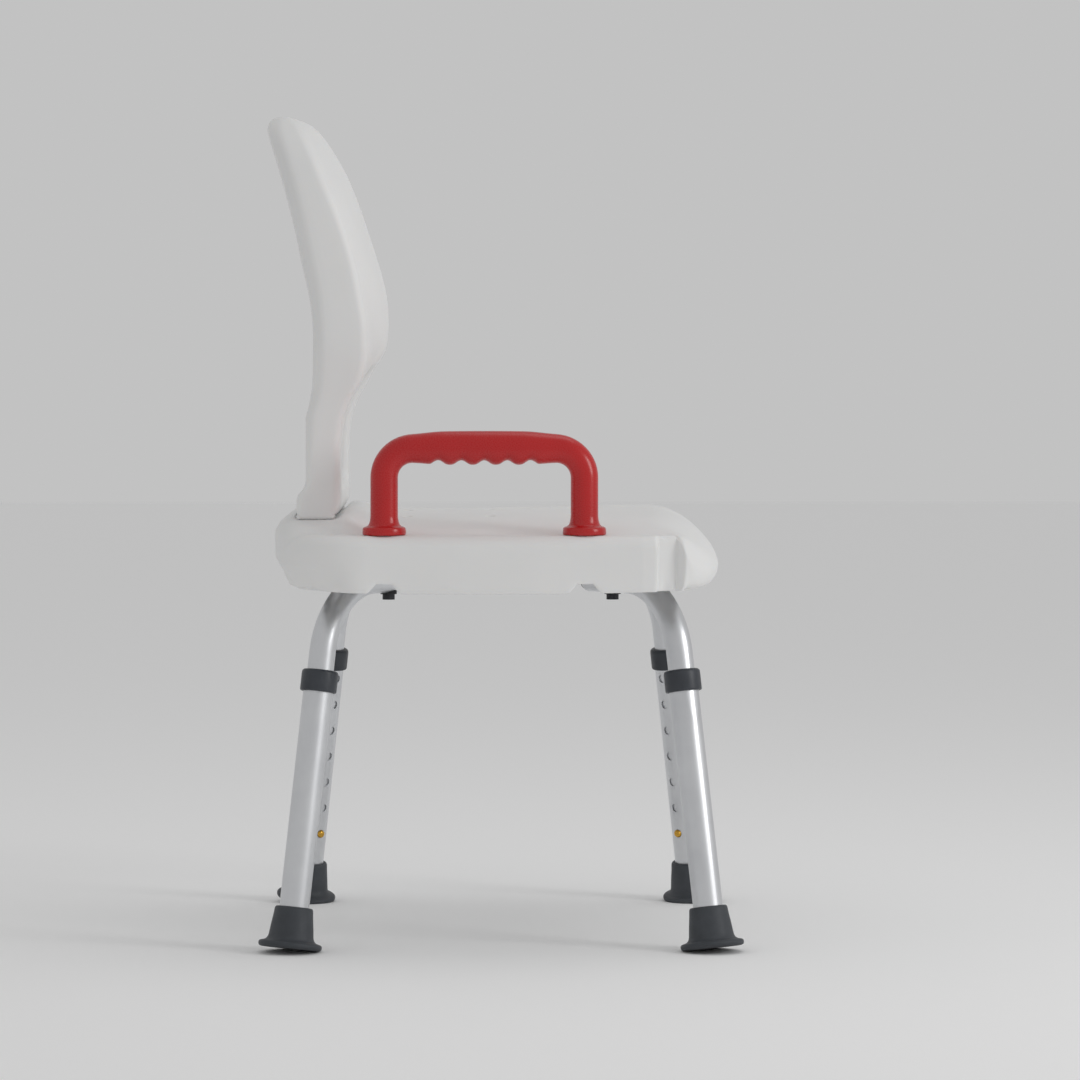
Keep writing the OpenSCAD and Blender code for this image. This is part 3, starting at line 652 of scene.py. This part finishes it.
PANEL_TOP, PANEL_HALF, PANEL_R, POST_HALF = 790.0, 200.0, 100.0, 184.0
PANEL_LOW = 588.0                                       # above it the panel's sides are straight
WINDOW_HALF, WINDOW_LOW, WINDOW_HIGH, WINDOW_LOW_R, WINDOW_HIGH_R = 118.0, 433.0, 545.0, 14.0, 20.0
FOOT_R = 4.0                                            # outer corners at the posts' feet
# points on half an outline: along the foot, round a corner, up a side and along the top
FOOT_N, CORNER_N, SIDE_N, TOP_N = 18, 9, 46, 32

# y of the rear face by height, then of the posts' front, the panel's edge and the panel's middle
REAR = [(401.5, 196), (416, 196), (423.5, 195.2), (428, 191.8), (433, 188.2), (440, 187), (498, 187),
        (513, 183.4), (535, 180.3), (570, 179.6), (610, 184.5), (640, 191.5), (675, 198.7), (705, 206),
        (737, 215), (755, 220.6), (775, 226.8), (790, 229)]
POST_FRONT = [(401.5, 161.5), (407, 157.8), (415, 154.6), (430, 154), (470, 154.2), (482, 153.4),
              (497, 151.2), (507, 148), (516, 144.6), (526, 139.2), (535, 134.2), (542, 131.4),
              (550, 129.6), (564, 128.8), (583, 129)]
EDGE = [(535, 134.2), (550, 129.6), (564, 128.8), (583, 129), (611, 133), (650, 141), (688, 153), (726, 169),
        (754, 180), (778, 192.5), (786, 199), (790, 203)]
CROWN = [(535, 134), (541, 127.5), (546, 122.5), (554, 117.8), (562, 114.6), (570, 112.6), (585, 111),
         (602, 111.2), (620, 113.2), (640, 118), (675, 129), (705, 139), (737, 152), (755, 162),
         (778, 178), (786, 188), (790, 198)]
# shares of the way between the outer edge and the window at which the front and the rear have rows
FRONT_ROWS = (0.02, 0.05, 0.09, 0.14, 0.2, 0.27, 0.35, 0.43, 0.52, 0.61, 0.69, 0.77, 0.84, 0.9, 0.95, 0.98, 1.0)
REAR_ROWS = (0.0, 0.02, 0.06, 0.12, 0.2, 0.3, 0.4, 0.5, 0.6, 0.7, 0.8, 0.88, 0.94, 0.98)


def panel_half(z):
    """Half the backrest's width at a height."""
    z = np.asarray(z, float)
    post = POST_HALF + (PANEL_HALF - POST_HALF) * smooth(506, 580, z)
    top = np.clip((z - (PANEL_TOP - PANEL_R)) / PANEL_R, 0, 1)
    return post - PANEL_R * (1 - np.sqrt(np.clip(1 - top**2, 0, 1)))


def across(x, z):
    """0 on the backrest's middle line and 1 at its edge."""
    return np.clip(np.abs(x) / np.maximum(panel_half(z), 1), 0, 1)


def back_front(p):
    """Front face of the backrest at points (x, z): posts below, a crowned panel above."""
    x, z = p.T
    edge, crown = curve(EDGE, z), curve(CROWN, z)
    panel = edge + (crown - edge) * (1 - across(x, z)**2.4)
    share = smooth(520, 566, z)
    return np.where(z > 583, panel, curve(POST_FRONT, z) * (1 - share) + panel * share)


def back_rear(p):
    """Rear face, which wraps forward a little towards the panel's edges."""
    x, z = p.T
    return curve(REAR, z) - 5 * smooth(560, 640, z) * across(x, z)**4


def window_outline():
    """The window in the front view, anticlockwise from the middle of its foot."""
    low, high = WINDOW_LOW_R, WINDOW_HIGH_R
    up = np.linspace(WINDOW_LOW + low, WINDOW_HIGH - high, SIDE_N)
    return mirrored(np.vstack([
        level(0, WINDOW_HALF - low, WINDOW_LOW, FOOT_N)[:-1],
        arc(WINDOW_HALF - low, WINDOW_LOW + low, low, -90, 0, CORNER_N)[:-1],
        np.column_stack([np.full(SIDE_N, WINDOW_HALF), up])[:-1],
        arc(WINDOW_HALF - high, WINDOW_HIGH - high, high, 0, 90, CORNER_N + 4)[:-1],
        level(WINDOW_HALF - high, 0, WINDOW_HIGH, TOP_N)]))


def panel_outline():
    """The backrest in the front view, with as many points in each stretch as the window has."""
    shoulder = PANEL_TOP - PANEL_R
    low = np.linspace(PLATE_Z + FOOT_R, PANEL_LOW, SIDE_N)[:-1]
    straight = np.linspace(PANEL_LOW, shoulder, 7)[:-1]
    top = np.vstack([
        np.column_stack([np.full(len(straight), PANEL_HALF), straight]),
        arc(PANEL_HALF - PANEL_R, shoulder, PANEL_R, 0, 90, 20)[:-1],
        [[PANEL_HALF - PANEL_R, PANEL_TOP], [0, PANEL_TOP]]])
    return mirrored(np.vstack([
        level(0, POST_HALF - FOOT_R, PLATE_Z, FOOT_N)[:-1],
        arc(POST_HALF - FOOT_R, PLATE_Z + FOOT_R, FOOT_R, -90, 0, CORNER_N)[:-1],
        np.column_stack([panel_half(low), low]),
        resample(top, CORNER_N + 3 + TOP_N)]))


def backrest_skin():
    """One closed skin: round the panel and posts, through the window and back."""
    outer, inner = panel_outline(), window_outline()
    from_edge, from_window = -outward(outer), outward(inner)
    # how round the corners are at the outer edge, front and rear, and at the window
    z = outer[:, 1]
    slim = 1 - smooth(430, 560, z)
    foot = z < PLATE_Z + FOOT_R - 0.1
    front_r = np.where(foot, 2.0, 6.5 + 1.5 * slim)
    rear_r = np.where(foot, 3.0, 13.0 - 6 * slim)
    window_r = np.full(len(inner), 7.0)
    turns = np.radians([0, 18, 36, 54, 72, 90])
    rows = []

    def add(p, y):
        rows.append(np.column_stack([p[:, 0], y, p[:, 1]]))

    def corner(base, normal, r, face, turn, way):
        """A row of a rounded corner: way is +1 at the front face and -1 at the rear one."""
        p = base + normal * (r * (1 - math.cos(turn)))[:, None]
        add(p, face(p) + way * r * (1 - math.sin(turn)))

    def wall(base, r_front, r_rear, share):
        """A row of the wall through the thickness, at a share of the way from front to rear."""
        add(base, (back_front(base) + r_front) * (1 - share) + (back_rear(base) - r_rear) * share)

    for share in (0.5, 0.25, 0.0):
        wall(outer, front_r, rear_r, share)
    for turn in turns[1:]:
        corner(outer, from_edge, front_r, back_front, turn, 1)
    start, stop = outer + from_edge * front_r[:, None], inner + from_window * window_r[:, None]
    for share in FRONT_ROWS:
        p = start * (1 - share) + stop * share
        add(p, back_front(p))
    for turn in turns[::-1][1:]:
        corner(inner, from_window, window_r, back_front, turn, 1)
    for share in (0.33, 0.66):
        wall(inner, window_r, window_r, share)
    for turn in turns[:-1]:
        corner(inner, from_window, window_r, back_rear, turn, -1)
    start, stop = stop, outer + from_edge * rear_r[:, None]
    for share in REAR_ROWS:
        p = start * (1 - share) + stop * share
        add(p, back_rear(p))
    for turn in turns[::-1]:
        corner(outer, from_edge, rear_r, back_rear, turn, -1)
    wall(outer, front_r, rear_r, 0.75)
    return grid(np.array(rows), wrap_rows=True)


tenons = [box((post - 27, 159.5, 365), (post + 27, 181.5, 404), 1.5, 0.3) for post in (-POST_X, POST_X)]
backrest = make("backrest_moulding", [backrest_skin()] + tenons, WHITE, 50, LIFT)

# ---------------------------------------------------------------- grab handle

TURN_R, GRIP_Z = 27.0, 469.8                            # the handle's bends and the height of its grip
BAR_R = 13.1
SCALLOP_PITCH, SCALLOP_DEPTH, SCALLOPS_END = 21.8, 4.2, 54.5


def handle_path():
    """Stations (y, z, angle) from one foot to the other; the angle is 90 on the first post and 0 on the grip."""
    climbs = [RAIL_Z + rise for rise in (9, 10.5, 13, 20, 32, 44)] + [GRIP_Z - TURN_R]
    half = [(-HALF_PITCH, z, 90.0) for z in climbs]
    for a in np.linspace(0, 90, 15)[1:]:
        t = math.radians(a)
        y = -HALF_PITCH + TURN_R - TURN_R * math.cos(t)
        half.append((y, GRIP_Z - TURN_R + TURN_R * math.sin(t), 90 - a))
    level_part = [(y, GRIP_Z, 0.0) for y in np.linspace(-HALF_PITCH + TURN_R, HALF_PITCH - TURN_R, 110)[1:-1]]
    return half + level_part + [(-y, z, -a) for y, z, a in reversed(half)]


def handle_skin():
    """The handle's bar, swept along its path; its section grows a crown and a scalloped grip."""
    rows = []
    for y, z, a in handle_path():
        grip = float(1 - smooth(38, 72, abs(y)))
        crown = 2.2 * max(0, 1 - (abs(y) / HALF_PITCH)**2.2)
        over = BAR_R + (1.9 * grip + crown) * (1 - abs(a) / 90)
        below = BAR_R + 1.9 * grip
        side = BAR_R + 1.1 * grip
        if abs(y) < SCALLOPS_END and a == 0:
            wave = (0.5 + 0.5 * math.cos(2 * math.pi * y / SCALLOP_PITCH))**1.35
            below -= SCALLOP_DEPTH * wave * float(1 - smooth(48, SCALLOPS_END, abs(y)))
        t = math.radians(a)
        ring = []
        for b in np.linspace(0, 2 * math.pi, 48, endpoint=False):
            c, s = math.cos(b), math.sin(b)
            v = over * s if s > 0 else below * s
            w = side * math.copysign(abs(c)**0.94, c)
            ring.append((w, y - math.sin(t) * v, z + math.cos(t) * v))
        rows.append(ring)
    return capped(np.array(rows))


def handle_foot(y):
    """A flange with rounded edges that draws in to the post."""
    outline = [(6.3, 1.0), (19.3, 0.2), (20.1, 0.5), (20.6, 1.2), (20.7, 2.6), (20.6, 4.6), (20.4, 6.2),
               (19.8, 7.3), (18.6, 8.0), (17.2, 8.4), (15.9, 9.1), (14.8, 10.3), (14.1, 12), (13.6, 14),
               (13.25, 16.5), (13.1, 19), (9, 19), (6.3, 6)]
    p, f = grid(lathe(outline, 72), wrap_rows=True)
    return p + [0, y, RAIL_Z], f


handle_parts = [handle_skin(), handle_foot(-HALF_PITCH), handle_foot(HALF_PITCH)]
handle = make("handle_moulding", handle_parts, RED, 40, LIFT)
for v in handle.data.vertices:
    v.co.x += -BOSS_X * MM
    v.co.y += HANDLE_Y * MM

# ---------------------------------------------------------------- feet, collars, buttons

# places along the tube's axis, from the floor
TIP_W, COLLAR_W, BUTTON_W = 3.29, 250.0, 76.0


def foot_mesh(side, end):
    """A flared rubber foot with a ringed sole, cut flat where it stands on the floor."""
    sole = [(0, 1.2), (6.5, 1.2), (7.2, 0.2), (11, 0), (11.5, 1.2), (13.2, 1.2), (13.8, 0), (17.6, 0),
            (18.1, 1.2), (19.8, 1.2), (20.4, 0), (25.2, 0)]
    flare = [(27.6, 0.15), (29.2, 0.7), (30.1, 1.7), (30.4, 3), (30.4, 4.2), (30.0, 5.3), (29.0, 6.1),
             (27.4, 6.6), (25.6, 7.0), (24.0, 7.8), (22.8, 9.0), (22.0, 10.6), (21.5, 12.6), (21.1, 16),
             (20.4, 22), (19.7, 27)]
    cuff = [(19.0, 32), (18.5, 37), (18.2, 38.4), (17.6, 39.4), (16.8, 39.9), (15.6, 40), (14.8, 39.6),
            (14.4, 38.8)]
    socket = [(14.35, 29), (14.35, 14), (0, 14)]
    p, f = moved(grid(lathe(sole + flare + cuff + socket)), up_leg(side, end, TIP_W))
    p[:, 2] = np.maximum(p[:, 2], 0.0)
    return p, f


def collar_mesh(side, end):
    """A collar with rounded ends and a shallow moulded slot at its lower edge."""
    outside = [(14.4, 0.9), (14.9, 0.25), (15.6, 0), (16.4, 0.05), (17.1, 0.4), (17.5, 1.1), (17.6, 2),
               (17.62, 10), (17.6, 17.4), (17.45, 18.7), (17.0, 19.8), (16.2, 20.6), (15.2, 21),
               (14.0, 21)]
    inside = [(13.3, 20.7), (12.9, 20.0), (12.82, 19.2), (12.82, 18.6), (14.35, 18.4), (14.35, 6)]
    p, f = grid(lathe(outside + inside), wrap_rows=True)
    angle = np.degrees(np.arctan2(p[:, 1], p[:, 0]))
    r = np.hypot(p[:, 0], p[:, 1])
    slot = (np.abs(angle - 90) < 4.2) & (p[:, 2] < 9.5) & (r > 16)
    p[slot, :2] *= (15.6 / r[slot])[:, None]
    return moved((p, f), up_leg(side, end, COLLAR_W))


def button_mesh(side, end):
    """A domed button with a flange, lying across the tube and pointing inward."""
    outline = [(0, 16.85), (1.2, 16.8), (2.3, 16.6), (3.1, 16.2), (3.65, 15.6), (3.95, 14.8), (4.0, 13.8),
               (4.0, 9.7), (5.1, 9.5), (5.1, 8.7), (0, 8.7)]
    lying = Matrix.Rotation(math.pi, 4, "Z") @ Matrix.Rotation(math.pi / 2, 4, "Y")
    return moved(grid(lathe(outline, 48)), up_leg(side, end, BUTTON_W) @ lying)


for leg, (side, end) in SIDES.items():
    for piece, node, part, mat, slot, body in [
        ("foot_rubber_", "foot_tip_", foot_mesh(side, end), RUBBER, "grey_rubber", "lower_leg_"),
        ("collar_ring_", "collar_", collar_mesh(side, end), NYLON, "grey_plastic", "lower_leg_"),
        ("button_dome_", "button_", button_mesh(side, end), BUTTON, "button_brass", "button_"),
    ]:
        obj = make(piece + leg, [part], mat, 38)
        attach(obj, body + leg)
        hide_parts(node + leg)

for obj, nodes, slot in [(shell, ["seat"], "white_plastic"), (under, ["seat"], "white_plastic"),
                         (backrest, ["backrest"], "white_plastic"), (handle, ["grab_handle"], "red_plastic")]:
    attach(obj, "chair")
    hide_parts(*nodes)

# ---------------------------------------------------------------- carried-over CAD nodes


def dress(node, mat):
    """Gives a CAD node its material."""
    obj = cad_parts[node]
    obj.data.materials.clear()
    obj.data.materials.append(mat)


for leg, (side, end) in SIDES.items():
    tube = aluminium(leg, up_leg(side, end).to_3x3().to_4x4())
    dress("upper_leg_" + leg, tube)
    dress("lower_leg_" + leg, tube)
    dress("foot_disc_" + leg, STEEL)
for node, mat in [("handle_inserts", BRASS), ("leg_inserts", BRASS), ("handle_bolts", STEEL),
                  ("handle_washers", STEEL), ("backrest_screws", STEEL), ("button_springs", STEEL),
                  ("leg_bolts", BLACK_STEEL), ("saddle_washers", BLACK_PLASTIC), ("tube_plugs", BLACK_PLASTIC)]:
    dress(node, mat)

# ---------------------------------------------------------------- floor, light and camera

floor = bpy.data.objects.new("floor", bpy.data.meshes.new("floor"))
bm = bmesh.new()
bmesh.ops.create_grid(bm, x_segments=2, y_segments=2, size=14)
bm.to_mesh(floor.data)
bm.free()
bpy.context.scene.collection.objects.link(floor)
pale = Nodes("floor")
pale.set(Base_Color=(0.97, 0.97, 0.97), Roughness=0.9, Specular_IOR_Level=0.1)
floor.data.materials.append(pale.mat)

world = bpy.data.worlds.new("studio")
world.use_nodes = True
world.node_tree.nodes["Background"].inputs["Color"].default_value = (1.0, 1.0, 1.0, 1)
world.node_tree.nodes["Background"].inputs["Strength"].default_value = 0.54
bpy.context.scene.world = world


def area(name, place, target, size, power):
    light = bpy.data.lights.new(name, "AREA")
    light.shape = "RECTANGLE"
    light.size, light.size_y = size
    light.energy = power
    obj = bpy.data.objects.new(name, light)
    obj.location = place
    obj.rotation_euler = (Vector(target) - Vector(place)).to_track_quat("-Z", "Y").to_euler()
    bpy.context.scene.collection.objects.link(obj)


area("key", (-1.5, -2.6, 1.3), (0, 0, 0.45), (0.9, 1.3), 20)
area("top", (0.2, -0.6, 2.8), (0, 0, 0.4), (1.4, 1.4), 5)

# a long lens from the chair's right side, as in the photo; places are in metres, lens and sensor in millimetres
EYE, LOOK_AT = Vector((-4.8, 0.022, 0.567)), Vector((0.0, -0.03968, 0.38495))
camera = bpy.data.cameras.new("camera")
camera.sensor_width = 36
camera.lens = 160.83
view = bpy.data.objects.new("camera", camera)
view.location = EYE
view.rotation_mode = "QUATERNION"
view.rotation_quaternion = (LOOK_AT - EYE).to_track_quat("-Z", "Y")
bpy.context.scene.collection.objects.link(view)
bpy.context.scene.camera = view
bpy.context.scene.view_settings.view_transform = "Standard"
